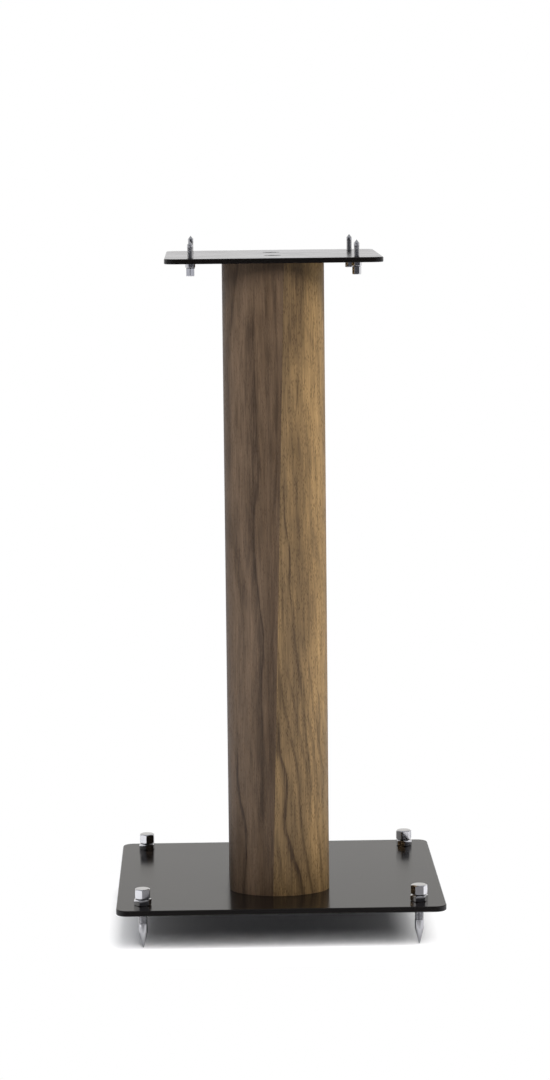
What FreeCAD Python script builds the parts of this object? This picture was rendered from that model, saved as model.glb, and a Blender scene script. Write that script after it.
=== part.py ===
"""Speaker stand: an oval walnut column, glued up from two halves, between two steel plates. Four
floor spikes screw up and down, and four smaller ones stand out of the top plate for the speaker.

Millimetres. +Z is up, +X is to the right of someone facing the stand, and the front faces -Y.
The origin is on the floor, under the middle of the stand."""
import FreeCAD, Part
import math
import os

# ---- Whole stand ----
stand_height = 600.0            # floor to the upper face of the top plate
floor_gap = 33.3                # floor to the underside of the base plate

# ---- Steel plates ----
base_width = 288.0
base_depth = 264.0
base_thickness = 5.0
top_width = 189.0
top_depth = 190.0
top_thickness = 4.5
plate_corner_radius = 10.0
plate_edge_chamfer = 0.6

# ---- Column: straight sides, with an oval nose of three arcs at the front and at the back ----
column_width = 88.6
column_depth = 172.0
column_nose = 32.0              # how far each nose reaches past the straight sides
column_shoulder_radius = 24.0   # arcs that join the nose to the sides
seam_x_bottom = -6.3            # glue line between the left and right halves, at the foot
seam_x_top = 8.7                # and at the top

# ---- Screws and threaded inserts that hold each plate on the column ----
fixing_spacing = 70.0           # front screw to back screw
fixing_screw_diameter = 8.0
fixing_screw_length = 25.0
fixing_head_diameter = 15.0
fixing_head_sunk = 0.1          # head below the face of the plate
fixing_socket_flats = 5.0
fixing_socket_depth = 2.6
fixing_hole_clearance = 0.4     # all round the shank, through the plate
insert_diameter = 11.0
insert_length = 20.0
insert_bore_depth = 22.0        # drilled into the end of the column

# ---- Floor spikes, with their lock nuts and caps ----
floor_spike_inset = 23.0        # from the edges of the base plate to the spike's axis
floor_spike_diameter = 8.0
floor_spike_cone = 14.0
floor_spike_plain = 7.0         # plain shank between the cone and the thread
floor_spike_tip_radius = 0.5
floor_nut_flats = 14.0
floor_nut_height = 5.5
floor_cap_flats = 13.0
floor_cap_height = 8.8
floor_cap_wall = 1.6            # closed end of the cap

# ---- Top spikes, with their lock nuts and caps ----
top_spike_inset = 22.5          # from the edges of the top plate to the spike's axis
top_spike_diameter = 5.0
top_spike_reach = 14.3          # tip above the face of the top plate
top_spike_cone = 2.9
top_spike_plain = 2.2           # plain shank between the cone and the thread
top_spike_tip_radius = 0.3
top_nut_flats = 8.0
top_nut_height = 3.8
top_cap_flats = 7.0
top_cap_height = 7.0
top_cap_wall = 1.2              # closed end of the cap

# ---- Fits ----
thread_clearance = 0.05         # all round a screw in its nut, insert, cap or tapped hole
seat_clearance = 0.05           # round a countersunk head and round an insert
cap_gap = 0.3                   # between a cap and its lock nut, and over a spike's end
hexagon_flat_share = 0.95       # width over the bevels on a nut's or cap's end, over its flats
cap_turns = {"front_left": 30.0, "front_right": 1.0, "back_left": 27.0, "back_right": 11.0}
nut_turns = {"front_left": 13.0, "front_right": 6.0, "back_left": 21.0, "back_right": 38.0}
hexagon_bevel_degrees = 30.0
countersink_degrees = 90.0

# ---- Levels that follow ----
base_bottom = floor_gap
base_top = base_bottom + base_thickness
top_bottom = stand_height - top_thickness
column_height = top_bottom - base_top


def vector(x, y, z):
    return FreeCAD.Vector(x, y, z)


def turned(outline, x=0.0, y=0.0):
    """Solid of revolution about a vertical axis, from (radius, height) points."""
    points = [vector(radius, 0, height) for radius, height in outline]
    face = Part.Face(Part.makePolygon(points + points[:1]))
    solid = face.revolve(vector(0, 0, 0), vector(0, 0, 1), 360)
    solid.translate(vector(x, y, 0))
    return solid


def rounded_rectangle(width, depth, radius, level):
    """Face with four round corners, centred on the axis of the stand."""
    sides = []
    middles = [(1, 1, 0), (-1, 1, 90), (-1, -1, 180), (1, -1, 270)]
    arcs = []
    for side_x, side_y, start in middles:
        centre = vector(side_x * (width / 2 - radius), side_y * (depth / 2 - radius), level)
        circle = Part.Circle(centre, vector(0, 0, 1), radius)
        arcs.append(Part.Arc(circle, math.radians(start), math.radians(start + 90)).toShape())
    for index, arc in enumerate(arcs):
        following = arcs[(index + 1) % len(arcs)]
        sides.append(arc)
        sides.append(Part.makeLine(arc.lastVertex().Point, following.firstVertex().Point))
    return Part.Face(Part.Wire(sides))


def plate(width, depth, thickness, level):
    """Flat plate with round corners and chamfered edges, its underside at the level."""
    solid = rounded_rectangle(width, depth, plate_corner_radius, level).extrude(vector(0, 0, thickness))
    rims = [edge for edge in solid.Edges if edge.BoundBox.ZLength < 1e-3]
    return solid.makeChamfer(min(plate_edge_chamfer, 0.4 * thickness), rims)


def corner_places(width, depth, inset):
    """Name and place of the four points at one inset from the edges of a plate."""
    x = width / 2 - inset
    y = depth / 2 - inset
    return {"front_left": (-x, -y), "front_right": (x, -y), "back_left": (-x, y), "back_right": (x, y)}


def fixing_places():
    """Front and back screws that hold a plate on the column."""
    return [(0.0, -fixing_spacing / 2), (0.0, fixing_spacing / 2)]


def oval_face(level):
    """Section of the column. The middle arc of each nose runs smoothly into its two shoulders."""
    half_width = column_width / 2
    straight = column_depth / 2 - column_nose
    shoulder = min(column_shoulder_radius, 0.9 * column_nose, 0.9 * half_width)
    middle = ((half_width ** 2 + column_nose ** 2 - 2 * half_width * shoulder)
              / (2 * (column_nose - shoulder)))
    sweep = math.atan2(half_width - shoulder, middle - column_nose)
    arcs = []
    for side in (1, -1):
        quarter = side * math.pi / 2
        right = vector(side * (half_width - shoulder), side * straight, level)
        nose = vector(0, side * (straight + column_nose - middle), level)
        left = vector(-side * (half_width - shoulder), side * straight, level)
        for centre, radius, start, end in ((right, shoulder, quarter - math.pi / 2, quarter - sweep),
                                           (nose, middle, quarter - sweep, quarter + sweep),
                                           (left, shoulder, quarter + sweep, quarter + math.pi / 2)):
            arcs.append(Part.Arc(Part.Circle(centre, vector(0, 0, 1), radius), start, end).toShape())
    sides = [Part.makeLine(arcs[2].lastVertex().Point, arcs[3].firstVertex().Point),
             Part.makeLine(arcs[5].lastVertex().Point, arcs[0].firstVertex().Point)]
    return Part.Face(Part.Wire(arcs[:3] + sides[:1] + arcs[3:] + sides[1:]))


def seam_block(side):
    """Everything on one side (-1 left, 1 right) of the glue line, which leans across the column."""
    reach = side * column_width
    outline = [vector(seam_x_bottom, -column_depth, base_top), vector(reach, -column_depth, base_top),
               vector(reach, -column_depth, top_bottom), vector(seam_x_top, -column_depth, top_bottom)]
    return Part.Face(Part.makePolygon(outline + outline[:1])).extrude(vector(0, 2 * column_depth, 0))


def column_half(side):
    """Left or right half of the column, with its share of the bores for the threaded inserts."""
    half = oval_face(base_top).extrude(vector(0, 0, column_height)).common(seam_block(side))
    radius = insert_diameter / 2 + seat_clearance
    for x, y in fixing_places():
        for level, inward in ((base_top, 1), (top_bottom, -1)):
            half = half.cut(Part.makeCylinder(radius, insert_bore_depth, vector(x, y, level),
                                              vector(0, 0, inward)))
    return half


def threaded_insert(x, y, level, inward):
    """Sleeve, flush with the end of the column; inward is 1 up or -1 down."""
    bore = fixing_screw_diameter / 2 + thread_clearance
    direction = vector(0, 0, inward)
    sleeve = Part.makeCylinder(insert_diameter / 2, insert_length, vector(x, y, level), direction)
    return sleeve.cut(Part.makeCylinder(bore, insert_length, vector(x, y, level), direction))


def head_cone_height(head_diameter):
    """Height of a countersunk head's cone, from its rim to the shank."""
    slope = math.tan(math.radians(countersink_degrees / 2))
    return (head_diameter - fixing_screw_diameter) / 2 / slope


def fixing_screw(x, y, face, inward):
    """Countersunk socket screw, its head just below the face of the plate."""
    head = fixing_head_diameter / 2
    shank = fixing_screw_diameter / 2
    outline = [(0, 0), (head, 0), (shank, head_cone_height(fixing_head_diameter)),
               (shank, fixing_screw_length), (0, fixing_screw_length)]
    start = face + inward * fixing_head_sunk
    screw = turned([(radius, start + inward * height) for radius, height in outline], x, y)
    return screw.cut(hexagon(fixing_socket_flats, 0.0, x, y, start, inward * fixing_socket_depth))


def fixing_hole(x, y, face, inward, thickness):
    """Cutter for a countersunk hole through a plate, wider than the screw all round."""
    slope = math.tan(math.radians(countersink_degrees / 2))
    head = fixing_head_diameter / 2 + seat_clearance
    hole = fixing_screw_diameter / 2 + fixing_hole_clearance
    mouth = head + fixing_head_sunk * slope
    outline = [(0, 0), (mouth, 0), (hole, (mouth - hole) / slope), (hole, thickness), (0, thickness)]
    return turned([(radius, face + inward * height) for radius, height in outline], x, y)


def base_plate():
    """Base plate, tapped for the floor spikes and countersunk on its underside."""
    solid = plate(base_width, base_depth, base_thickness, base_bottom)
    hole = floor_spike_diameter / 2 + thread_clearance
    for x, y in corner_places(base_width, base_depth, floor_spike_inset).values():
        solid = solid.cut(Part.makeCylinder(hole, base_thickness, vector(x, y, base_bottom)))
    for x, y in fixing_places():
        solid = solid.cut(fixing_hole(x, y, base_bottom, 1, base_thickness))
    return solid


def top_plate():
    """Top plate, tapped for the top spikes and countersunk on its upper face."""
    solid = plate(top_width, top_depth, top_thickness, top_bottom)
    hole = top_spike_diameter / 2 + thread_clearance
    for x, y in corner_places(top_width, top_depth, top_spike_inset).values():
        solid = solid.cut(Part.makeCylinder(hole, top_thickness, vector(x, y, top_bottom)))
    for x, y in fixing_places():
        solid = solid.cut(fixing_hole(x, y, stand_height, -1, top_thickness))
    return solid


def hexagon_corners(flats, turn, x, y, level):
    """Corners of a hexagon, turned in degrees from having a flat to the front, the first one twice."""
    corner = flats / math.sqrt(3)
    angles = [math.radians(60 * side + turn) for side in range(7)]
    return [vector(x + corner * math.cos(angle), y + corner * math.sin(angle), level) for angle in angles]


def hexagon(flats, turn, x, y, level, height):
    """Plain hexagonal prism."""
    outline = Part.makePolygon(hexagon_corners(flats, turn, x, y, level))
    return Part.Face(outline).extrude(vector(0, 0, height))


def bevelled_hexagon(flats, turn, x, y, level, height):
    """Hexagonal prism, its corners bevelled off at the end the height points to."""
    end_flats = hexagon_flat_share * flats
    spread = 2 * abs(height) / math.tan(math.radians(hexagon_bevel_degrees))
    wide = hexagon_corners(end_flats + spread, turn + 30, x, y, level)
    narrow = hexagon_corners(end_flats, turn + 30, x, y, level + height)
    outlines = [wide, narrow]
    for side in range(6):
        outlines.append([wide[side], wide[side + 1], narrow[side + 1], narrow[side], wide[side]])
    pyramid = Part.Solid(Part.Shell([Part.Face(Part.makePolygon(outline)) for outline in outlines]))
    return hexagon(flats, turn, x, y, level, height).common(pyramid)


def lock_nut(flats, height, turn, screw_diameter, x, y, level, outward):
    """Hexagonal nut against the plate at the level, bevelled on its outward side (1 up, -1 down)."""
    bore = screw_diameter / 2 + thread_clearance
    nut = bevelled_hexagon(flats, turn, x, y, level, outward * height)
    return nut.cut(Part.makeCylinder(bore, height, vector(x, y, level), vector(0, 0, outward)))


def spike_cap(flats, height, wall, turn, screw_diameter, x, y, mouth, outward):
    """Hexagonal cap on a spike's end, closed on its outward side (1 up, -1 down)."""
    bore = screw_diameter / 2 + thread_clearance
    cap = bevelled_hexagon(flats, turn, x, y, mouth, outward * height)
    return cap.cut(Part.makeCylinder(bore, height - wall, vector(x, y, mouth), vector(0, 0, outward)))


def spike(diameter, cone, plain, tip_radius, x, y, tip_level, end_level):
    """Round spike, either way up: blunt tip, cone, plain shank and threaded end."""
    inward = 1 if end_level > tip_level else -1
    radius = diameter / 2
    outline = [(0, 0), (tip_radius, 0), (radius, cone), (radius, cone + plain),
               (radius, abs(end_level - tip_level)), (0, abs(end_level - tip_level))]
    return turned([(across, tip_level + inward * along) for across, along in outline], x, y)


def floor_spikes():
    """Spike, lock nut and cap at each corner of the base plate."""
    pieces = {}
    cap_level = base_top + floor_nut_height + cap_gap
    end_level = cap_level + floor_cap_height - floor_cap_wall - cap_gap
    for place, (x, y) in corner_places(base_width, base_depth, floor_spike_inset).items():
        pieces["floor_spike_" + place] = spike(floor_spike_diameter, floor_spike_cone, floor_spike_plain,
                                               floor_spike_tip_radius, x, y, 0.0, end_level)
        pieces["floor_lock_nut_" + place] = lock_nut(floor_nut_flats, floor_nut_height, nut_turns[place],
                                                     floor_spike_diameter, x, y, base_top, 1)
        pieces["floor_spike_cap_" + place] = spike_cap(floor_cap_flats, floor_cap_height, floor_cap_wall,
                                                       cap_turns[place], floor_spike_diameter,
                                                       x, y, cap_level, 1)
    return pieces


def top_spikes():
    """Spike, lock nut and cap at each corner of the top plate."""
    pieces = {}
    tip_level = stand_height + top_spike_reach
    cap_level = top_bottom - top_nut_height - cap_gap
    end_level = cap_level - top_cap_height + top_cap_wall + cap_gap
    for place, (x, y) in corner_places(top_width, top_depth, top_spike_inset).items():
        pieces["top_spike_" + place] = spike(top_spike_diameter, top_spike_cone, top_spike_plain,
                                             top_spike_tip_radius, x, y, tip_level, end_level)
        pieces["top_lock_nut_" + place] = lock_nut(top_nut_flats, top_nut_height, nut_turns[place],
                                                   top_spike_diameter, x, y, top_bottom, -1)
        pieces["top_spike_cap_" + place] = spike_cap(top_cap_flats, top_cap_height, top_cap_wall,
                                                     cap_turns[place], top_spike_diameter,
                                                     x, y, cap_level, -1)
    return pieces


def plate_screws():
    """The four screws that hold the plates on the column."""
    return Part.makeCompound([fixing_screw(x, y, face, inward) for x, y in fixing_places()
                              for face, inward in ((base_bottom, 1), (stand_height, -1))])


def threaded_inserts():
    """The four inserts that the screws go into, two in each end of the column."""
    return Part.makeCompound([threaded_insert(x, y, level, inward) for x, y in fixing_places()
                              for level, inward in ((base_top, 1), (top_bottom, -1))])


def stand():
    """Every piece of the stand, by name."""
    pieces = {"base_plate": base_plate(), "top_plate": top_plate(),
              "column_left": column_half(-1), "column_right": column_half(1),
              "plate_screws": plate_screws(), "threaded_inserts": threaded_inserts()}
    pieces.update(floor_spikes())
    pieces.update(top_spikes())
    return pieces


os.makedirs("parts", exist_ok=True)
for name, shape in stand().items():
    shape.exportStep("parts/" + name + ".step")
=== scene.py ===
"""Looks for the speaker stand: walnut column, black powder-coated plates and chrome spikes."""
import bmesh
import bpy
import math
from mathutils import Matrix, Vector


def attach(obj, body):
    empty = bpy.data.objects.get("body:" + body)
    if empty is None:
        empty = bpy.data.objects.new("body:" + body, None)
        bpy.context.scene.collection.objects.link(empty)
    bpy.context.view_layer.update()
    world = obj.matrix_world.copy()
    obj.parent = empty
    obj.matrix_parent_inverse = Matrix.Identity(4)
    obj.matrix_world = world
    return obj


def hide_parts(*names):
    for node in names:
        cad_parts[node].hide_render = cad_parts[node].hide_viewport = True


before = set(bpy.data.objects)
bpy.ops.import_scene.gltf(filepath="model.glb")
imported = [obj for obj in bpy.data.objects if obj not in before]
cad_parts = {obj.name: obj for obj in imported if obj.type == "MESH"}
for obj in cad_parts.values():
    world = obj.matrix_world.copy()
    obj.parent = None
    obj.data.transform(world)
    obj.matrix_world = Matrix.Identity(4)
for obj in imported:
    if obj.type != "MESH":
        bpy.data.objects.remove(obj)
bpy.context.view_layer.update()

MM = 0.001

# ---- Places and sizes, as in the CAD, in metres ----
PLACES = {"front_left": (-1, -1), "front_right": (1, -1), "back_left": (-1, 1), "back_right": (1, 1)}
CAP_TURNS = {"front_left": 30.0, "front_right": 1.0, "back_left": 27.0, "back_right": 11.0}
NUT_TURNS = {"front_left": 13.0, "front_right": 6.0, "back_left": 21.0, "back_right": 38.0}
THREAD_GAP = 0.05 * MM
CAP_GAP = 0.3 * MM
END_FACE_SHARE = 0.95           # width over the chamfers on a nut's end, over its flats
CAP_FACE_SHARE = 0.90           # the same on a cap
CORNER_SHARE = 0.06             # a hexagon's corner radius over its flats
POLISH_SAG = 0.012              # share a hexagon's corners fall back from polishing
CHAMFER_DEGREES = 30.0
NUT_LEAD = 0.35 * MM            # chamfer into a nut's bore
CAP_LEAD = 0.3 * MM             # chamfer into a cap's bore

THREAD_DEPTH_SHARE = 0.42       # depth of a thread over its pitch
THREAD_CREST_SHARE = 0.12       # width of its crest, and then of its flanks, over half a pitch
THREAD_FLANK_SHARE = 0.7
STEPS_PER_TURN = 8              # rings of a thread in one pitch
ROUND_STEPS = 48                # points round a spike

# ---- Softened edges, in metres ----
NUT_EDGE = 0.12 * MM
CAP_EDGE = 0.15 * MM
COAT_EDGE = 0.2 * MM
BOARD_EDGE = 0.25 * MM

BASE_TOP = 38.3 * MM
TOP_BOTTOM = 595.5 * MM

COLUMN_HALF_WIDTH = 44.3 * MM
COLUMN_HALF_DEPTH = 86.0 * MM
COLUMN_NOSE = 32.0 * MM
COLUMN_SHOULDER_RADIUS = 24.0 * MM
SEAM_X_BOTTOM = -6.3 * MM
SEAM_X_TOP = 8.7 * MM
SHOULDER_STEPS, NOSE_STEPS = 14, 48

FLOOR_SET = {
    "kind": "floor", "x": 121.0 * MM, "y": 109.0 * MM, "up": 1, "face": BASE_TOP,
    "tip": 0.0, "radius": 4.0 * MM, "tip_radius": 0.5 * MM, "cone": 14.0 * MM, "plain": 7.0 * MM,
    "length": 51.0 * MM, "pitch": 1.25 * MM,
    "nut_flats": 14.0 * MM, "nut_height": 5.5 * MM,
    "cap_flats": 13.0 * MM, "cap_height": 8.8 * MM, "cap_wall": 1.6 * MM,
}
TOP_SET = {
    "kind": "top", "x": 72.0 * MM, "y": 72.5 * MM, "up": -1, "face": TOP_BOTTOM,
    "tip": 614.3 * MM, "radius": 2.5 * MM, "tip_radius": 0.3 * MM, "cone": 2.9 * MM, "plain": 2.2 * MM,
    "length": 28.4 * MM, "pitch": 0.8 * MM,
    "nut_flats": 8.0 * MM, "nut_height": 3.8 * MM,
    "cap_flats": 7.0 * MM, "cap_height": 7.0 * MM, "cap_wall": 1.2 * MM,
}


# ---- Node helpers ----
def add(tree, kind, inputs=(), **settings):
    """A node with its settings and inputs; an input is a value or another node's socket."""
    node = tree.nodes.new(kind)
    for name, value in settings.items():
        setattr(node, name, value)
    for name, value in dict(inputs).items():
        if isinstance(value, bpy.types.NodeSocket):
            tree.links.new(value, node.inputs[name])
        else:
            node.inputs[name].default_value = value
    return node


def maths(tree, operation, first, second=0.0, third=0.0, clamp=False):
    """One sum, as a socket."""
    return add(tree, "ShaderNodeMath", {0: first, 1: second, 2: third},
               operation=operation, use_clamp=clamp).outputs[0]


def remap(tree, value, from_low, from_high, to_low, to_high):
    """A value stretched smoothly from one range on to another, as a socket."""
    node = add(tree, "ShaderNodeMapRange", {"Value": value, "From Min": from_low, "From Max": from_high,
                                            "To Min": to_low, "To Max": to_high})
    node.interpolation_type = "SMOOTHSTEP"
    return node.outputs["Result"]


def blended(tree, factor, first, second, blend="MIX"):
    """Two colours mixed, as a socket."""
    node = tree.nodes.new("ShaderNodeMix")
    node.data_type = "RGBA"
    node.blend_type = blend
    for socket, value in ((node.inputs[0], factor), (node.inputs[6], first), (node.inputs[7], second)):
        if isinstance(value, bpy.types.NodeSocket):
            tree.links.new(value, socket)
        else:
            socket.default_value = value
    return node.outputs[2]


def noise(tree, vector, scale, detail, roughness):
    """Noise between 0 and 1, as a socket."""
    return add(tree, "ShaderNodeTexNoise", {"Vector": vector, "Scale": scale, "Detail": detail,
                                            "Roughness": roughness}).outputs["Fac"]


def stretched(tree, vector, scale):
    """A vector scaled along each axis, as a socket."""
    return add(tree, "ShaderNodeMapping", {"Vector": vector, "Scale": scale}).outputs["Vector"]


def stretched_noise(tree, vector, scale, detail, roughness):
    """Noise between 0 and 1 with its own scale along each axis, as a socket."""
    return noise(tree, stretched(tree, vector, scale), 1.0, detail, roughness)


def around_zero(tree, value):
    """A value between 0 and 1 moved to lie around 0, as a socket."""
    return maths(tree, "SUBTRACT", value, 0.5)


def new_group(name, inputs, outputs):
    """A shader node group, with its input node and output node."""
    group = bpy.data.node_groups.new(name, "ShaderNodeTree")
    for label, kind, default in inputs:
        socket = group.interface.new_socket(label, in_out="INPUT", socket_type=kind)
        if default is not None:
            socket.default_value = default
    for label, kind in outputs:
        group.interface.new_socket(label, in_out="OUTPUT", socket_type=kind)
    return group, group.nodes.new("NodeGroupInput"), group.nodes.new("NodeGroupOutput")


def new_material(name):
    """A material with its tree and its Principled shader."""
    material = bpy.data.materials.new(name)
    material.use_nodes = True
    tree = material.node_tree
    return material, tree, tree.nodes["Principled BSDF"]


# ---- Shared effects ----
GRAIN_SLANT = 0.24              # shift of the grain sideways over depth
BEND_REACH = 0.022              # width of the grain's slow bends, in metres
WAVE_REACH = 0.006              # width of its short waves, in metres
STREAK_SCALE = 90.0             # streaks in a metre
STREAK_SQUEEZE = 0.10           # their number along the board over that across it
STREAK_TONE = 0.24              # tone that a streak adds or takes
DEEP_SHARE = 0.40               # share of the dark colour in the deepest streaks
LINE_SHARPNESS = 7.0            # power of a growth line's sharp side
GRAIN_SCALE = (760.0, 760.0, 40.0)
FIBRE_SCALE = (380.0, 380.0, 11.0)
PORE_SCALE = (1250.0, 1250.0, 250.0)
GRAIN_SHARE, FIBRE_SHARE = 0.48, 0.20


def walnut_figure_group():
    """Walnut with upright grain: broad streaks, growth lines, drawn lines, fine grain and open pores."""
    color, number, vector = "NodeSocketColor", "NodeSocketFloat", "NodeSocketVector"
    group, given, result = new_group(
        "walnut_figure",
        [("Position", vector, None), ("Light", color, None), ("Mid", color, None), ("Dark", color, None),
         ("Line", color, None), ("Tone", number, 0.5), ("Drawn Lines", number, 0.0), ("Lean", number, 0.0),
         ("Line Spacing", number, 0.01), ("Line Strength", number, 0.5), ("Streak Shift", number, 0.0),
         ("Pore Strength", number, 0.5)],
        [("Color", color), ("Roughness", number), ("Height", number)])
    place = given.outputs["Position"]
    x, y, z = add(group, "ShaderNodeSeparateXYZ", {"Vector": place}).outputs

    # the grain bends a little along the board
    bend = around_zero(group, stretched_noise(group, place, (3.0, 3.0, 5.0), 2.0, 0.45))
    wave = around_zero(group, stretched_noise(group, place, (14.0, 14.0, 9.0), 1.0, 0.5))
    across = maths(group, "MULTIPLY_ADD", y, GRAIN_SLANT, x)
    across = maths(group, "MULTIPLY_ADD", z, given.outputs["Lean"], across)
    across = maths(group, "MULTIPLY_ADD", bend, BEND_REACH, across)
    across = maths(group, "MULTIPLY_ADD", wave, WAVE_REACH, across)

    # broad streaks follow the grain
    shifted = maths(group, "ADD", across, given.outputs["Streak Shift"])
    streak_place = add(group, "ShaderNodeCombineXYZ", {
        "X": shifted, "Y": 0.0, "Z": maths(group, "MULTIPLY", z, STREAK_SQUEEZE)}).outputs[0]
    streaks = noise(group, streak_place, STREAK_SCALE, 4.0, 0.62)
    change = remap(group, streaks, 0.3, 0.7, -STREAK_TONE, STREAK_TONE)
    tone = maths(group, "ADD", given.outputs["Tone"], change, clamp=True)
    wood = blended(group, tone, given.outputs["Mid"], given.outputs["Light"])
    deep = remap(group, streaks, 0.44, 0.33, 0.0, DEEP_SHARE)
    wood = blended(group, deep, wood, given.outputs["Dark"])

    # growth lines: sharp on one side, fading on the other
    phase = maths(group, "FRACT", maths(group, "DIVIDE", across, given.outputs["Line Spacing"]))
    line = maths(group, "POWER", phase, LINE_SHARPNESS)
    patches = stretched_noise(group, place, (20.0, 20.0, 7.0), 2.0, 0.5)
    patches = remap(group, patches, 0.42, 0.62, 0.0, 1.0)
    line = maths(group, "MULTIPLY", maths(group, "MULTIPLY", line, patches), given.outputs["Line Strength"])

    # fine grain and pores
    grain = stretched_noise(group, place, GRAIN_SCALE, 4.0, 0.70)
    fibre = stretched_noise(group, place, FIBRE_SCALE, 2.0, 0.6)
    broken = remap(group, grain, 0.3, 0.75, 1.15, 0.55)
    # the drawn lines can also carry a patch of painted shade, given by the board
    lines_and_painted_shade = maths(group, "MULTIPLY", given.outputs["Drawn Lines"], broken)
    wood = blended(group, maths(group, "MAXIMUM", line, lines_and_painted_shade, clamp=True), wood, given.outputs["Line"])
    for share, value in ((GRAIN_SHARE, grain), (FIBRE_SHARE, fibre)):
        level = remap(group, value, 0.3, 0.7, 0.26, 0.74)
        wood = blended(group, share, wood, add(group, "ShaderNodeCombineXYZ", {
            "X": level, "Y": level, "Z": level}).outputs[0], "OVERLAY")
    pores = add(group, "ShaderNodeTexVoronoi", {"Vector": stretched(group, place, PORE_SCALE),
                                                "Scale": 1.0, "Randomness": 1.0})
    pore = remap(group, pores.outputs["Distance"], 0.50, 0.18, 0.0, 1.0)
    chosen = stretched_noise(group, place, (260.0, 260.0, 60.0), 1.0, 0.5)
    pore = maths(group, "MULTIPLY", pore, remap(group, chosen, 0.36, 0.54, 0.0, 1.0))
    pore_share = maths(group, "MULTIPLY", pore, given.outputs["Pore Strength"])
    wood = blended(group, pore_share, wood, given.outputs["Line"])

    rough = maths(group, "MULTIPLY_ADD", pore, 0.25, remap(group, grain, 0.3, 0.7, 0.46, 0.58))
    height = maths(group, "SUBTRACT", maths(group, "MULTIPLY", grain, 0.35), pore)
    group.links.new(wood, result.inputs["Color"])
    group.links.new(rough, result.inputs["Roughness"])
    group.links.new(height, result.inputs["Height"])
    return group


def handling_group():
    """Faint smudges and fine unevenness of a surface that has been handled."""
    number, vector = "NodeSocketFloat", "NodeSocketVector"
    group, given, result = new_group(
        "handling",
        [("Position", vector, None), ("Roughness", number, 0.2), ("Smudge", number, 0.05),
         ("Texture Size", number, 0.001)],
        [("Roughness", number), ("Height", number)])
    place = given.outputs["Position"]
    smudge = remap(group, noise(group, place, 28.0, 4.0, 0.6), 0.35, 0.7, 0.0, 1.0)
    rough = maths(group, "MULTIPLY_ADD", smudge, given.outputs["Smudge"], given.outputs["Roughness"])
    texture = add(group, "ShaderNodeTexNoise", {"Vector": place, "Detail": 1.0})
    group.links.new(maths(group, "DIVIDE", 1.0, given.outputs["Texture Size"]), texture.inputs["Scale"])
    group.links.new(rough, result.inputs["Roughness"])
    group.links.new(texture.outputs["Fac"], result.inputs["Height"])
    return group


walnut_figure = walnut_figure_group()
handling = handling_group()


# ---- Materials ----
def object_position(tree):
    """Place on the object, as a socket."""
    return tree.nodes.new("ShaderNodeTexCoord").outputs["Object"]


CURVE_HEIGHT, CURVE_WIDTH = 600, 100    # millimetres that the curve of a line spans
END_INSIDE, END_OUTSIDE = 14 * MM, 24 * MM    # reach of the fade at a line's ends
FRAY = 3.0 * MM                 # width over which a line's edge is frayed
TONE_DRIFT = 26.0 * MM          # width over which the tone wanders
NOSE_START, NOSE_END = -40.0 * MM, -60.0 * MM    # depth over which the drawn lines come in
WOOD_IOR = 1.34


def grain_line(tree, x, z, path, left, right, strength):
    """Mask of one line of the grain, or of a broad patch of painted shade. Its path is (height, offset)
    pairs, and left and right are how far it fades to each side, all in millimetres."""
    curve = tree.nodes.new("ShaderNodeFloatCurve")
    points = curve.mapping.curves[0].points
    ordered = sorted((height / CURVE_HEIGHT, offset / CURVE_WIDTH + 0.5) for height, offset in path)
    points[0].location, points[1].location = ordered[0], ordered[-1]
    for location in ordered[1:-1]:
        points.new(*location)
    curve.mapping.update()
    tree.links.new(maths(tree, "DIVIDE", z, CURVE_HEIGHT * MM), curve.inputs["Value"])
    centre = maths(tree, "MULTIPLY", around_zero(tree, curve.outputs[0]), CURVE_WIDTH * MM)
    off = maths(tree, "SUBTRACT", x, centre)
    apart = maths(tree, "MAXIMUM", maths(tree, "DIVIDE", off, right * MM),
                  maths(tree, "DIVIDE", off, -left * MM))
    mask = remap(tree, apart, 0.0, 1.0, strength, 0.0)
    low, high = ordered[0][0] * CURVE_HEIGHT * MM, ordered[-1][0] * CURVE_HEIGHT * MM
    for inner, outer in ((low + END_INSIDE, low - END_OUTSIDE), (high - END_INSIDE, high + END_OUTSIDE)):
        mask = maths(tree, "MULTIPLY", mask, remap(tree, z, inner, outer, 1.0, 0.0))
    return mask


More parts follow.
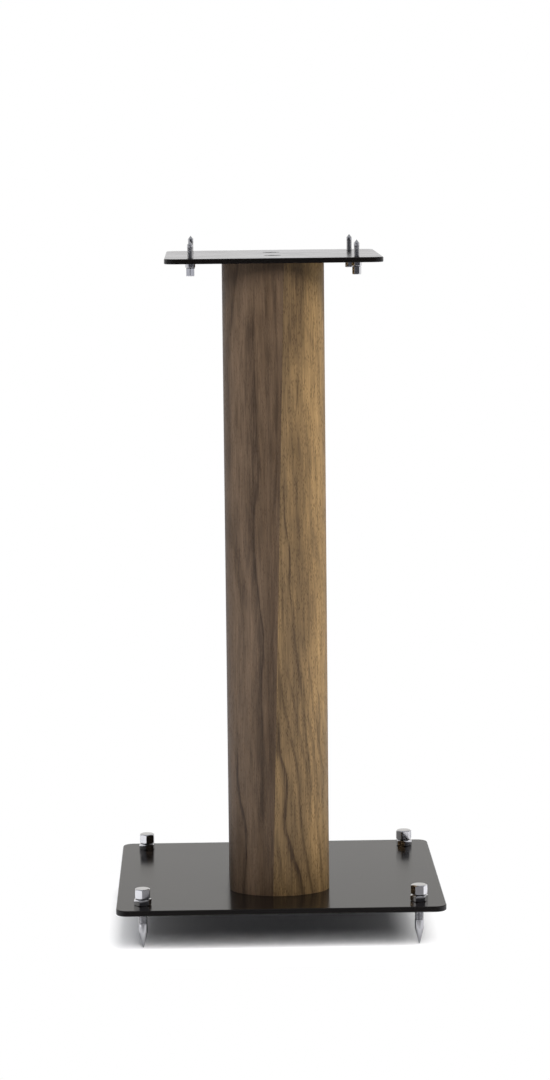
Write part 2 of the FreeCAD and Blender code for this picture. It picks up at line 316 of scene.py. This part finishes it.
def walnut(name, colors, settings, tone_from, tone_to, tones, lines):
    """One board of the column. Its tone drifts from one offset to another across the front, and
    its lines, which on the right board include a patch of painted shade under the top plate, are drawn on
    the front nose."""
    material, tree, shader = new_material(name)
    position = object_position(tree)
    x, y, z = add(tree, "ShaderNodeSeparateXYZ", {"Vector": position}).outputs
    feather = stretched_noise(tree, position, (160.0, 160.0, 30.0), 3.0, 0.65)
    drift = stretched_noise(tree, position, (50.0, 50.0, 9.0), 2.0, 0.5)
    frayed = maths(tree, "MULTIPLY_ADD", around_zero(tree, feather), FRAY, x)
    loose = maths(tree, "MULTIPLY_ADD", around_zero(tree, drift), TONE_DRIFT, x)
    lines_and_painted_shade = 0.0
    for line in lines:
        lines_and_painted_shade = maths(tree, "MAXIMUM", lines_and_painted_shade, grain_line(tree, frayed, z, *line))
    lines_and_painted_shade = maths(tree, "MULTIPLY", lines_and_painted_shade, remap(tree, y, NOSE_START, NOSE_END, 0.0, 1.0))

    figure = add(tree, "ShaderNodeGroup", node_tree=walnut_figure)
    tree.links.new(position, figure.inputs["Position"])
    tree.links.new(lines_and_painted_shade, figure.inputs["Drawn Lines"])
    tree.links.new(remap(tree, loose, tone_from * MM, tone_to * MM, *tones), figure.inputs["Tone"])
    for label, value in colors.items():
        figure.inputs[label].default_value = (*value, 1.0)
    for label, value in settings.items():
        figure.inputs[label].default_value = value
    bump = add(tree, "ShaderNodeBump", {"Height": figure.outputs["Height"], "Strength": 0.35,
                                        "Distance": 0.00012})
    tree.links.new(figure.outputs["Color"], shader.inputs["Base Color"])
    tree.links.new(figure.outputs["Roughness"], shader.inputs["Roughness"])
    tree.links.new(bump.outputs["Normal"], shader.inputs["Normal"])
    shader.inputs["IOR"].default_value = WOOD_IOR
    return material


def coated(name, color, roughness, smudge, texture_size, bump_depth, metallic=0.0, ior=1.5):
    """Powder coat, oxide or plating on steel."""
    material, tree, shader = new_material(name)
    wear = add(tree, "ShaderNodeGroup", node_tree=handling)
    tree.links.new(object_position(tree), wear.inputs["Position"])
    for label, value in (("Roughness", roughness), ("Smudge", smudge), ("Texture Size", texture_size)):
        wear.inputs[label].default_value = value
    bump = add(tree, "ShaderNodeBump", {"Height": wear.outputs["Height"], "Strength": 0.5,
                                        "Distance": bump_depth})
    shader.inputs["Base Color"].default_value = (*color, 1.0)
    shader.inputs["Metallic"].default_value = metallic
    shader.inputs["IOR"].default_value = ior
    tree.links.new(wear.outputs["Roughness"], shader.inputs["Roughness"])
    tree.links.new(bump.outputs["Normal"], shader.inputs["Normal"])
    return material


# Lines of the grain, and on the right board one patch of painted shade: path up the board, fade to the
# left, fade to the right, strength
LEFT_BOARD_LINES = (
    (((550, -18), (503, -18), (460, -17), (409, -15), (373, -20), (337, -20)), 13.0, 2.2, 0.66),
    (((520, -19), (470, -18), (409, -15.5), (385, -18)), 6.0, 1.7, 0.41),
    (((345, -20), (300, -16), (267, -13), (223, -15), (174, -14), (105, -14)), 10.0, 2.2, 0.57),
    (((338, -19), (300, -16), (267, -12.5), (223, -15), (190, -14)), 1.4, 1.1, 0.92),
    (((595, -31), (553, -36), (515, -40), (465, -40), (415, -39.5)), 4.8, 1.7, 0.54),
    (((165, -36.5), (130, -35), (108, -31), (93, -29), (61, -30.5), (43, -31.5), (25, -32)),
     3.0, 1.7, 0.76),
    (((575, -8), (520, -6), (470, -5.5), (420, -5)), 4.8, 2.3, 0.3),
    (((570, 1), (500, 2), (440, 1), (380, -1)), 3.6, 1.7, 0.38),
    (((380, -34), (350, -34), (330, -33)), 4.8, 3.4, 0.41),
    (((320, -30), (300, -28), (285, -29)), 6.0, 4.6, 0.41),
    (((330, -4), (300, -4), (240, -4.5), (180, -6), (110, -7)), 7.2, 4.6, 0.34),
    (((100, -8), (70, -8), (40, -8)), 12.0, 10.0, 0.3),
)
RIGHT_BOARD_LINES_AND_SHADE = (
    (((592, 15.6), (572, 17.4), (553, 22.2), (533, 30)), 4.2, 2.4, 0.50),
    (((493, 20), (481, 19.5), (464, 18)), 1.8, 1.4, 0.59),
    (((405, 6.5), (380, 7), (361, 9), (343, 11), (325, 10.5), (300, 12)), 1.6, 1.4, 0.81),
    (((336, 10.7), (331, 10.7), (325, 10.6)), 1.9, 1.6, 0.92),
    (((379, 19.5), (355, 20), (311, 19.5)), 2.0, 1.4, 0.55),
    (((312, 4), (286, 4.5)), 1.6, 1.4, 0.59),
    (((300, 14), (271, 15), (249, 17), (226, 20), (186, 24), (152, 27), (125, 28.5)),
     3.4, 1.7, 0.58),
    (((240, 8.5), (228, 11), (213, 14), (194, 17), (175, 20.5), (150, 25), (115, 28)),
     3.4, 1.7, 0.48),
    (((252, 19), (236, 21), (199, 26), (180, 29.5), (160, 32), (110, 34.5)), 3.4, 1.6, 0.44),
    (((255, 25), (232, 28), (192, 33.5), (152, 38.5)), 3.2, 1.6, 0.46),
    (((235, 2), (218, 4), (203, 6.5), (188, 9.5), (173, 12), (156, 15.5), (137, 18), (110, 19),
      (80, 21.5)), 2.8, 1.5, 0.56),
    (((250, 0.5), (225, 1.0), (200, 1.5)), 2.7, 1.7, 0.65),
    (((192, 0), (167, 1), (157, 4), (145, 6.5), (119, 5.5), (104, 5), (88, 8.5), (71, 12.7),
      (58, 17), (43, 20.3), (25, 23.5)), 4.9, 1.8, 0.86),
    (((90, 21), (65, 24.6), (43, 28.5), (25, 31.5)), 2.4, 1.5, 0.60),
    (((125, 31), (65, 37.0), (30, 39.0)), 2.7, 1.5, 0.40),
    (((82, -1.5), (51, 3.7)), 4.1, 2.3, 0.52),
    # painted shade: broad dark patch at the top of the right board, where the top plate's overhang shades
    # the column
    (((592, 20), (560, 20), (520, 16)), 18.0, 16.0, 0.55),
    (((445, 20), (390, 20), (330, 26), (265, 26)), 16.0, 10.0, 0.32),
)

walnut_dark = walnut(
    "walnut_dark",
    {"Light": (0.086, 0.058, 0.038), "Mid": (0.045, 0.028, 0.016), "Dark": (0.038, 0.024, 0.014),
     "Line": (0.015, 0.009, 0.006)},
    {"Lean": 0.018, "Line Spacing": 0.0125, "Line Strength": 0.12, "Streak Shift": 0.0,
     "Pore Strength": 0.20},
    -34.0, 0.0, (0.90, 0.15), LEFT_BOARD_LINES)
walnut_light = walnut(
    "walnut_light",
    {"Light": (0.200, 0.128, 0.056), "Mid": (0.092, 0.0595, 0.029), "Dark": (0.072, 0.047, 0.024),
     "Line": (0.024, 0.014, 0.008)},
    {"Lean": 0.070, "Line Spacing": 0.0098, "Line Strength": 0.30, "Streak Shift": 0.31,
     "Pore Strength": 0.55},
    16.0, 40.0, (0.10, 0.95), RIGHT_BOARD_LINES_AND_SHADE)
black_coat = coated("black_coat", (0.0025, 0.0020, 0.0018), 0.155, 0.03, 0.0011, 0.000006, ior=1.35)
chrome = coated("chrome", (0.66, 0.66, 0.67), 0.08, 0.06, 0.004, 0.000004, metallic=1.0)
bright_thread = coated("bright_thread", (0.62, 0.62, 0.63), 0.20, 0.06, 0.003, 0.000004, metallic=1.0)
black_oxide = coated("black_oxide", (0.012, 0.012, 0.013), 0.50, 0.10, 0.0006, 0.00001)
zinc = coated("zinc", (0.55, 0.54, 0.50), 0.35, 0.10, 0.0008, 0.00001, metallic=1.0)


# ---- Making pieces ----
def finish_piece(name, form, material, body, replaced, sharp_degrees=28.0):
    """Turns a form into a named piece that rides on its body."""
    bmesh.ops.recalc_face_normals(form, faces=form.faces)
    mesh = bpy.data.meshes.new(name)
    form.to_mesh(mesh)
    form.free()
    mesh.materials.append(material)
    mesh.shade_smooth()
    mesh.set_sharp_from_angle(angle=math.radians(sharp_degrees))
    piece = bpy.data.objects.new(name, mesh)
    bpy.context.scene.collection.objects.link(piece)
    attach(piece, body)
    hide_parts(replaced)
    return piece


def soften(piece, width):
    """Rounds the piece's sharp edges."""
    bevel = piece.modifiers.new("soft_edges", "BEVEL")
    bevel.width = width
    bevel.segments = 2
    bevel.limit_method = "ANGLE"
    bevel.angle_limit = math.radians(24.0)
    bevel.harden_normals = True


def turned_form(rings, angles, closed_ends=True):
    """Form through rings, from the first to the last. A ring gives radius and height at an angle."""
    form = bmesh.new()
    loop = bmesh.ops.create_circle(form, cap_ends=closed_ends, segments=len(angles), radius=1.0)["verts"]
    edges = form.edges[:]
    for vertex, angle in zip(loop, angles):
        radius, height = rings[0](angle)
        vertex.co = (radius * math.cos(angle), radius * math.sin(angle), height)
    for ring in rings[1:]:
        grown = bmesh.ops.extrude_edge_only(form, edges=edges)["geom"]
        fresh = {part for part in grown if isinstance(part, bmesh.types.BMVert)}
        for vertex in fresh:
            angle = math.atan2(vertex.co.y, vertex.co.x)
            radius, height = ring(angle)
            vertex.co = (radius * math.cos(angle), radius * math.sin(angle), height)
        edges = [part for part in grown if isinstance(part, bmesh.types.BMEdge)
                 and set(part.verts) <= fresh]
    if closed_ends:
        bmesh.ops.edgeloop_fill(form, edges=edges)
    else:
        bmesh.ops.remove_doubles(form, verts=form.verts, dist=1e-7)
    return form


def round_ring(radius, height):
    """Round ring at one height."""
    return lambda angle: (radius, height)


def corner_start(flats, corner_radius):
    """Angle from the middle of a flat to where its rounded corner starts."""
    return math.atan((flats / 2 - corner_radius) * math.tan(math.pi / 6) / (flats / 2))


def hexagon_radius(angle, flats):
    """Distance to the outline of a hexagon with rounded corners, with a flat across the X axis."""
    off = abs((angle + math.pi / 6) % (math.pi / 3) - math.pi / 6)
    half, corner_radius = flats / 2, CORNER_SHARE * flats
    polished = 1 - POLISH_SAG * (off / (math.pi / 6)) ** 2
    if off <= corner_start(flats, corner_radius):
        return polished * half / math.cos(off)
    centre = (half - corner_radius) / math.cos(math.pi / 6)
    rest = math.pi / 6 - off
    across = math.sqrt(corner_radius ** 2 - (centre * math.sin(rest)) ** 2)
    return polished * (centre * math.cos(rest) + across)


def hexagon_angles(flats):
    """Angles round a hexagon: few along the flats, more round the corners."""
    start = corner_start(flats, CORNER_SHARE * flats)
    rest = math.pi / 6 - start
    side = [-start, -0.66 * start, -0.33 * start, 0.0, 0.33 * start, 0.66 * start, start,
            start + 0.4 * rest, start + rest, start + 1.6 * rest]
    return [math.pi / 3 * turn + angle for turn in range(6) for angle in side]


def hexagon_ring(flats, end_face, level, inward):
    """Edge of a hexagon's side, cut back where the chamfer turns its corners off. Inward is the
    direction from this end into the nut: 1 up, -1 down."""
    slope = math.tan(math.radians(CHAMFER_DEGREES))

    def ring(angle):
        radius = hexagon_radius(angle, flats)
        return radius, level + inward * max(radius - end_face, 0.0) * slope
    return ring


def place_form(form, turn_degrees, x, y):
    """Turns a form about its axis and moves it to its place."""
    turn = Matrix.Rotation(math.radians(turn_degrees), 3, "Z")
    bmesh.ops.rotate(form, verts=form.verts, cent=(0, 0, 0), matrix=turn)
    bmesh.ops.translate(form, verts=form.verts, vec=(x, y, 0))


# ---- Spikes, lock nuts and caps ----
def spike_rings(spec):
    """Rings of a spike from its tip: cone, plain shank and thread."""
    radius, up, tip, pitch = spec["radius"], spec["up"], spec["tip"], spec["pitch"]
    depth = THREAD_DEPTH_SHARE * pitch
    thread_start = spec["cone"] + spec["plain"]
    rings = [round_ring(0.45 * spec["tip_radius"], tip),
             round_ring(0.85 * spec["tip_radius"], tip + up * 0.06 * MM),
             round_ring(spec["tip_radius"] + 0.05 * MM, tip + up * 0.3 * MM),
             round_ring(radius, tip + up * spec["cone"])]

    def threaded(along):
        height = tip + up * along
        fade = min(1.0, (along - thread_start) / pitch, (spec["length"] - along) / (0.6 * pitch))

        def ring(angle):
            share = (height / pitch - angle / (2 * math.pi)) % 1.0
            groove = (abs(2 * share - 1) - THREAD_CREST_SHARE) / THREAD_FLANK_SHARE
            groove = min(max(groove, 0.0), 1.0)
            return radius - depth * fade * groove, height
        return ring
    threaded_length = spec["length"] - thread_start
    steps = round(threaded_length / (pitch / STEPS_PER_TURN))
    for step in range(steps + 1):
        rings.append(threaded(thread_start + threaded_length * step / steps))
    rings.append(round_ring(0.8 * radius, tip + up * spec["length"]))
    return rings


def nut_rings(flats, height, bore, level, up):
    """Rings of a hexagonal nut from its seat, round the outside and back through the bore."""
    end_face = END_FACE_SHARE * flats / 2
    mouth = bore + NUT_LEAD
    far = level + up * height
    return [round_ring(mouth, level), round_ring(end_face, level),
            hexagon_ring(flats, end_face, level, up), hexagon_ring(flats, end_face, far, -up),
            round_ring(end_face, far), round_ring(mouth, far),
            round_ring(bore, far - up * NUT_LEAD), round_ring(bore, level + up * NUT_LEAD),
            round_ring(mouth, level)]


def cap_rings(flats, height, wall, bore, mouth, up):
    """Rings of a cap from the bottom of its bore, round the mouth and up to its closed end."""
    end_face = CAP_FACE_SHARE * flats / 2
    far = mouth + up * height
    return [round_ring(bore, mouth + up * (height - wall)), round_ring(bore, mouth + up * CAP_LEAD),
            round_ring(bore + CAP_LEAD, mouth), round_ring(end_face, mouth),
            hexagon_ring(flats, end_face, mouth, up), hexagon_ring(flats, end_face, far, -up),
            round_ring(end_face, far), round_ring(0.55 * end_face, far)]


def make_spike_set(spec):
    """The four spikes of one plate, with their nuts and caps."""
    kind, up = spec["kind"], spec["up"]
    steel = chrome if kind == "floor" else bright_thread
    bore = spec["radius"] + THREAD_GAP
    round_angles = [2 * math.pi * step / ROUND_STEPS for step in range(ROUND_STEPS)]
    for place, (side_x, side_y) in PLACES.items():
        x, y = side_x * spec["x"], side_y * spec["y"]
        body = f"{kind}_spike_{place}"
        form = turned_form(spike_rings(spec), round_angles)
        place_form(form, 0.0, x, y)
        finish_piece(f"{body}_threaded", form, steel, body, body, sharp_degrees=12.0)

        body = f"{kind}_lock_nut_{place}"
        flats = spec["nut_flats"]
        form = turned_form(nut_rings(flats, spec["nut_height"], bore, spec["face"], up),
                           hexagon_angles(flats), closed_ends=False)
        place_form(form, NUT_TURNS[place] + 30.0, x, y)
        soften(finish_piece(f"{body}_chamfered", form, chrome, body, body), NUT_EDGE)

        body = f"{kind}_spike_cap_{place}"
        flats = spec["cap_flats"]
        mouth = spec["face"] + up * (spec["nut_height"] + CAP_GAP)
        form = turned_form(cap_rings(flats, spec["cap_height"], spec["cap_wall"], bore, mouth, up),
                           hexagon_angles(flats))
        place_form(form, CAP_TURNS[place] + 30.0, x, y)
        soften(finish_piece(f"{body}_chamfered", form, chrome, body, body), CAP_EDGE)


make_spike_set(FLOOR_SET)
make_spike_set(TOP_SET)


# ---- Column ----
def column_outline():
    """Flat oval face of the column's section: two straight sides and two noses of three arcs."""
    half, nose, shoulder = COLUMN_HALF_WIDTH, COLUMN_NOSE, COLUMN_SHOULDER_RADIUS
    straight = COLUMN_HALF_DEPTH - nose
    middle = (half ** 2 + nose ** 2 - 2 * half * shoulder) / (2 * (nose - shoulder))
    sweep = math.atan2(half - shoulder, middle - nose)
    form = bmesh.new()
    last = form.verts.new((half, straight, 0))
    for side in (1, -1):
        arcs = ((side * (half - shoulder), side * straight, math.pi / 2 - sweep, SHOULDER_STEPS),
                (0.0, side * (straight + nose - middle), 2 * sweep, NOSE_STEPS),
                (-side * (half - shoulder), side * straight, math.pi / 2 - sweep, SHOULDER_STEPS))
        for centre_x, centre_y, angle, steps in arcs:
            grown = bmesh.ops.spin(form, geom=[last], cent=(centre_x, centre_y, 0), axis=(0, 0, 1),
                                   dvec=(0, 0, 0), angle=angle, steps=steps)
            last = next(part for part in grown["geom_last"] if isinstance(part, bmesh.types.BMVert))
        run = form.verts.new((-side * half, -side * straight, 0))
        form.edges.new((last, run))
        last = run
    bmesh.ops.remove_doubles(form, verts=form.verts, dist=1e-6)
    bmesh.ops.edgeloop_fill(form, edges=form.edges)
    return form


def column_half(name, side, material):
    """Left (-1) or right (1) board of the column, its ends and seam eased very slightly."""
    form = column_outline()
    bmesh.ops.translate(form, verts=form.verts, vec=(0, 0, BASE_TOP))
    grown = bmesh.ops.extrude_face_region(form, geom=form.faces[:])["geom"]
    fresh = [part for part in grown if isinstance(part, bmesh.types.BMVert)]
    bmesh.ops.translate(form, verts=fresh, vec=(0, 0, TOP_BOTTOM - BASE_TOP))
    along = Vector((SEAM_X_TOP - SEAM_X_BOTTOM, 0, TOP_BOTTOM - BASE_TOP)).normalized()
    across = Vector((along.z, 0, -along.x))
    cut = bmesh.ops.bisect_plane(form, geom=form.verts[:] + form.edges[:] + form.faces[:], dist=1e-7,
                                 plane_co=(SEAM_X_BOTTOM, 0, BASE_TOP), plane_no=across,
                                 clear_inner=side > 0, clear_outer=side < 0)
    rim = [part for part in cut["geom_cut"] if isinstance(part, bmesh.types.BMEdge)]
    bmesh.ops.edgeloop_fill(form, edges=rim)
    bmesh.ops.recalc_face_normals(form, faces=form.faces)
    sharp = [edge for edge in form.edges if edge.calc_face_angle(0) > math.radians(40)]
    bmesh.ops.bevel(form, geom=sharp, offset=BOARD_EDGE, offset_type="OFFSET", segments=2, profile=0.5,
                    affect="EDGES", material=-1)
    return finish_piece(f"{name}_board", form, material, "frame", name)


column_half("column_left", -1, walnut_dark)
column_half("column_right", 1, walnut_light)


# ---- Plates ----
def coated_plate(node):
    """Copy of a CAD plate with its sharp edges rounded by the coat, and its level faces left flat."""
    form = bmesh.new()
    form.from_mesh(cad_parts[node].data)
    bmesh.ops.remove_doubles(form, verts=form.verts, dist=1e-6)
    bmesh.ops.dissolve_limit(form, angle_limit=math.radians(0.5), verts=form.verts, edges=form.edges)
    piece = finish_piece(f"{node}_coated", form, black_coat, "frame", node)
    for face in piece.data.polygons:
        face.use_smooth = abs(face.normal.z) < 0.99
    soften(piece, COAT_EDGE)


coated_plate("base_plate")
coated_plate("top_plate")
for node, material in (("plate_screws", black_oxide), ("threaded_inserts", zinc)):
    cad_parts[node].data.materials.clear()
    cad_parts[node].data.materials.append(material)


# ---- Stage ----
SHADOW_MIDDLE_X = -0.010        # middle and half sizes of the floor kept to its real shading; the box lies inside the base plate's outline
SHADOW_HALF_X, SHADOW_HALF_Y = 0.104, 0.1155
SHADOW_FADE = 0.07              # how far outside it the floor turns white
FLOOR_GLOW = (0.92, 0.93, 0.96, 1.0)
FLOOR_PAINT = (0.93, 0.93, 0.93, 1.0)
# painted reflection: floor colours seen only in reflections
DIM_MIRROR = (0.13, 0.13, 0.14, 1.0)
BRIGHT_MIRROR = (0.60, 0.61, 0.65, 1.0)


def make_floor():
    """Pale floor. The camera sees it turn to a pure white glow away from the stand; the glow starts under
    the base plate's edges, so it paints the outer part of the stand's shadow lighter.
    """
    form = bmesh.new()
    bmesh.ops.create_grid(form, x_segments=1, y_segments=1, size=6.0)
    mesh = bpy.data.meshes.new("floor")
    form.to_mesh(mesh)
    form.free()
    floor = bpy.data.objects.new("floor", mesh)
    bpy.context.scene.collection.objects.link(floor)

    material, tree, shader = new_material("floor")
    shader.inputs["Roughness"].default_value = 0.9
    shader.inputs["Specular IOR Level"].default_value = 0.0
    split = add(tree, "ShaderNodeSeparateXYZ", {"Vector": object_position(tree)})
    beyond = []
    for value, middle, half in ((split.outputs[0], SHADOW_MIDDLE_X, SHADOW_HALF_X),
                                (split.outputs[1], 0.0, SHADOW_HALF_Y)):
        apart = maths(tree, "ABSOLUTE", maths(tree, "SUBTRACT", value, middle))
        beyond.append(maths(tree, "MAXIMUM", maths(tree, "SUBTRACT", apart, half), 0.0))
    reach = maths(tree, "SQRT", maths(tree, "ADD", maths(tree, "MULTIPLY", beyond[0], beyond[0]),
                                      maths(tree, "MULTIPLY", beyond[1], beyond[1])))
    # painted light: outside the box the camera sees a white glow, which also lightens the edges of the
    # stand's shadow
    far = remap(tree, reach, 0.0, SHADOW_FADE, 0.0, 1.0)
    path = tree.nodes.new("ShaderNodeLightPath")
    # painted reflection: what the steel mirrors is a floor painted dim in front of the stand and brighter
    # at its sides and under it; the camera never sees these colours
    aside = remap(tree, maths(tree, "ABSOLUTE", split.outputs[0]), 0.21, 0.29, 0.0, 1.0)
    under = remap(tree, split.outputs[1], -0.20, -0.15, 0.0, 0.55)
    mirrored = blended(tree, maths(tree, "MAXIMUM", aside, under), DIM_MIRROR, BRIGHT_MIRROR)
    shade = blended(tree, path.outputs["Is Camera Ray"], FLOOR_PAINT, FLOOR_GLOW)
    shade = blended(tree, path.outputs["Is Glossy Ray"], shade, mirrored)
    tree.links.new(shade, shader.inputs["Base Color"])
    glow = add(tree, "ShaderNodeEmission", {"Color": (1, 1, 1, 1), "Strength": 1.0})
    mix = add(tree, "ShaderNodeMixShader", {0: maths(tree, "MULTIPLY", far, path.outputs["Is Camera Ray"]),
                                            1: shader.outputs[0], 2: glow.outputs[0]})
    tree.links.new(mix.outputs[0], tree.nodes["Material Output"].inputs["Surface"])
    mesh.materials.append(material)


WORLD_HORIZON = (1.0, 0.99, 1.0, 1.0)
WORLD_BEHIND = (0.76, 0.745, 0.72, 1.0)
WORLD_FRONT = (0.07, 0.07, 0.08, 1.0)
WORLD_SIDES = (0.60, 0.61, 0.67, 1.0)
WORLD_ABOVE = (0.14, 0.145, 0.16, 1.0)
MIRRORED_ABOVE = (0.42, 0.43, 0.46, 1.0)


def make_world():
    """Studio: white behind the stand, grey above it, and dark where the camera stands, with a
    bright band at the horizon to both sides."""
    world = bpy.data.worlds.new("studio")
    bpy.context.scene.world = world
    world.use_nodes = True
    tree = world.node_tree
    tree.nodes.clear()
    direction = tree.nodes.new("ShaderNodeTexCoord").outputs["Generated"]
    split = add(tree, "ShaderNodeSeparateXYZ", {"Vector": direction})
    x, y, z = split.outputs
    front = remap(tree, y, 0.20, -0.30, 0.0, 1.0)
    low = remap(tree, z, 0.22, 0.09, 0.0, 1.0)
    high = remap(tree, z, 0.45, 0.85, 0.0, 1.0)
    shade = blended(tree, low, WORLD_BEHIND, WORLD_HORIZON)
    shade = blended(tree, front, shade, WORLD_FRONT)
    level = remap(tree, maths(tree, "ABSOLUTE", z), 0.06, 0.16, 1.0, 0.0)
    aside = maths(tree, "MULTIPLY", level, remap(tree, y, -0.85, -0.55, 0.0, 1.0))
    shade = blended(tree, maths(tree, "MULTIPLY", front, aside), shade, WORLD_SIDES)
    path = tree.nodes.new("ShaderNodeLightPath")
    above = blended(tree, path.outputs["Is Glossy Ray"], WORLD_ABOVE, MIRRORED_ABOVE)
    shade = blended(tree, high, shade, above)
    shade = blended(tree, path.outputs["Is Camera Ray"], shade, (1.0, 1.0, 1.0, 1.0))
    background = add(tree, "ShaderNodeBackground", {"Color": shade, "Strength": 1.0})
    output = tree.nodes.new("ShaderNodeOutputWorld")
    tree.links.new(background.outputs[0], output.inputs["Surface"])


WARM, COOL = (1.0, 0.98, 0.95), (0.97, 0.98, 1.0)
LAMPS = (
    # name, place, point aimed at, size, watts, colour, spread in degrees
    ("key", (0.42, -1.90, 3.10), (0, 0, 0.3), (1.9, 2.7), 203.0, WARM, 180.0),
    ("low_fill", (0.25, -1.90, 1.05), (0, 0, -0.12), (0.8, 0.5), 0.42, WARM, 30.0),
    ("side_right", (1.5, -1.0, 2.2), (0, 0, 0.25), (0.7, 0.9), 20.0, (1.0, 0.97, 0.93), 180.0),
    ("side_left", (-1.5, -1.3, 2.1), (0, 0, 0.25), (0.7, 0.8), 18.0, COOL, 180.0),
    ("rim", (1.15, 1.55, 1.95), (0, 0, 0.35), (0.7, 0.7), 16.0, WARM, 180.0),
)


def make_lamp(name, place, target, size, power, color, spread):
    """Soft lamp aimed at a point. The steel mirrors the world and not the lamp."""
    lamp = bpy.data.lights.new(name, "AREA")
    lamp.shape = "RECTANGLE"
    lamp.size, lamp.size_y = size
    lamp.energy = power
    lamp.color = color
    lamp.spread = math.radians(spread)
    holder = bpy.data.objects.new(name, lamp)
    holder.visible_glossy = False
    holder.location = place
    holder.rotation_euler = (Vector(target) - Vector(place)).to_track_quat("-Z", "Y").to_euler()
    bpy.context.scene.collection.objects.link(holder)


CAMERA_PLACE = (-0.057, -2.818, 0.709)
CAMERA_TURNS = (1.164, 7.375, -0.608)    # to the right, down and about its axis, in degrees
SENSOR = 36.0
FOCAL_PIXELS, PICTURE_HEIGHT = 3168.8, 1080


def make_camera():
    """The photograph's view, from a little above the top plate."""
    place = Vector(CAMERA_PLACE)
    yaw, pitch, roll = (math.radians(turn) for turn in CAMERA_TURNS)
    forward = Vector((math.sin(yaw) * math.cos(pitch), math.cos(yaw) * math.cos(pitch), -math.sin(pitch)))
    right = Vector((math.cos(yaw), -math.sin(yaw), 0.0))
    up = right.cross(forward)
    side = right * math.cos(roll) + up * math.sin(roll)
    top = up * math.cos(roll) - right * math.sin(roll)
    data = bpy.data.cameras.new("camera")
    data.sensor_width = SENSOR
    data.lens = FOCAL_PIXELS * SENSOR / PICTURE_HEIGHT
    data.clip_end = 30.0
    camera = bpy.data.objects.new("camera", data)
    camera.matrix_world = Matrix((side, top, -forward)).transposed().to_4x4()
    camera.location = place
    bpy.context.scene.collection.objects.link(camera)
    bpy.context.scene.camera = camera


make_floor()
make_world()
for lamp in LAMPS:
    make_lamp(*lamp)
make_camera()
bpy.context.scene.view_settings.view_transform = "Standard"
